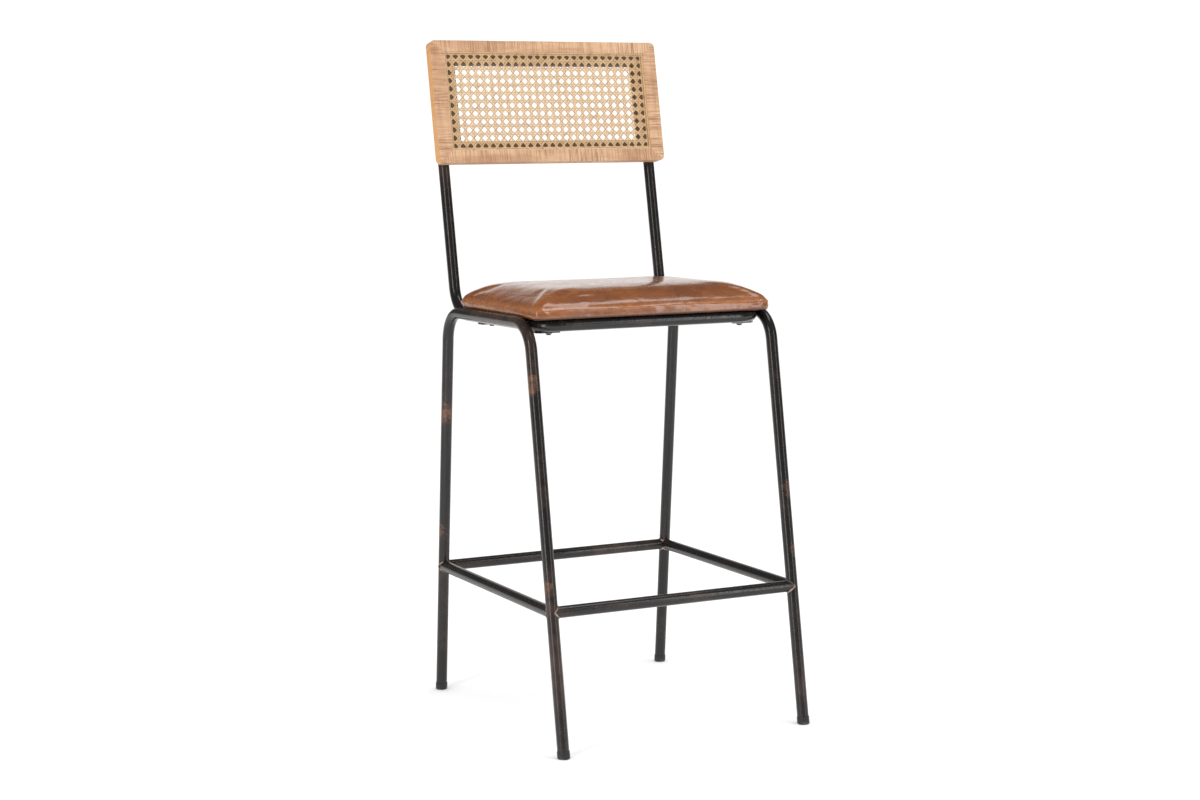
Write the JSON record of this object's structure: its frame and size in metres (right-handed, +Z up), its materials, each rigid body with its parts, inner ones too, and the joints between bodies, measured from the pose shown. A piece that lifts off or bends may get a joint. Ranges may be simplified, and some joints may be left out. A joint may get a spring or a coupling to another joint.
{
  "type": "bar stool",
  "caption": "High stool of bent black tube with a footrest, a padded brown leather seat and a leaning wood back filled with woven cane.",
  "frame": {"origin": "on the floor at the middle of the stool's outline", "axes": "+Z up, +Y towards the back, +X towards the sitter's left"},
  "size_m": [0.4564, 0.5534, 1.135],
  "materials": {
    "lacquered_steel": "satin",
    "black_plastic": "satin",
    "dark_fasteners": "satin",
    "zinc_fasteners": "satin",
    "plywood": "matte",
    "foam": "matte",
    "brown_leather": "gloss",
    "dust_cloth": "matte",
    "pale_hardwood": "matte",
    "dowel_wood": "matte",
    "cane": "satin"
  },
  "bodies": {
    "root": {"back_bottom_rail": "pale_hardwood", "back_corner_dowels": "dowel_wood", "back_left_stile": "pale_hardwood", "back_right_stile": "pale_hardwood", "back_screws": "dark_fasteners", "back_top_rail": "pale_hardwood", "cane_panel": "cane", "cane_spline_bottom": "cane", "cane_spline_left": "cane", "cane_spline_right": "cane", "cane_spline_top": "cane", "foot_glide_front_left": "black_plastic", "foot_glide_front_right": "black_plastic", "foot_glide_rear_left": "black_plastic", "foot_glide_rear_right": "black_plastic", "footrest_front_rail": "lacquered_steel", "footrest_left_rail": "lacquered_steel", "footrest_rear_rail": "lacquered_steel", "footrest_right_rail": "lacquered_steel", "left_leg_frame": "lacquered_steel", "rear_seat_rail": "lacquered_steel", "right_leg_frame": "lacquered_steel", "seat_back_frame": "lacquered_steel", "seat_board": "plywood", "seat_bolts": "dark_fasteners", "seat_dust_cover": "dust_cloth", "seat_foam": "foam", "seat_frame_welds": "lacquered_steel", "seat_leather_cover": "brown_leather", "seat_tab_front_left": "lacquered_steel", "seat_tab_front_right": "lacquered_steel", "seat_tab_rear_left": "lacquered_steel", "seat_tab_rear_right": "lacquered_steel", "seat_tee_nuts": "zinc_fasteners", "seat_washers": "zinc_fasteners", "upright_cap_left": "black_plastic", "upright_cap_right": "black_plastic"}
  },
  "joints": []
}
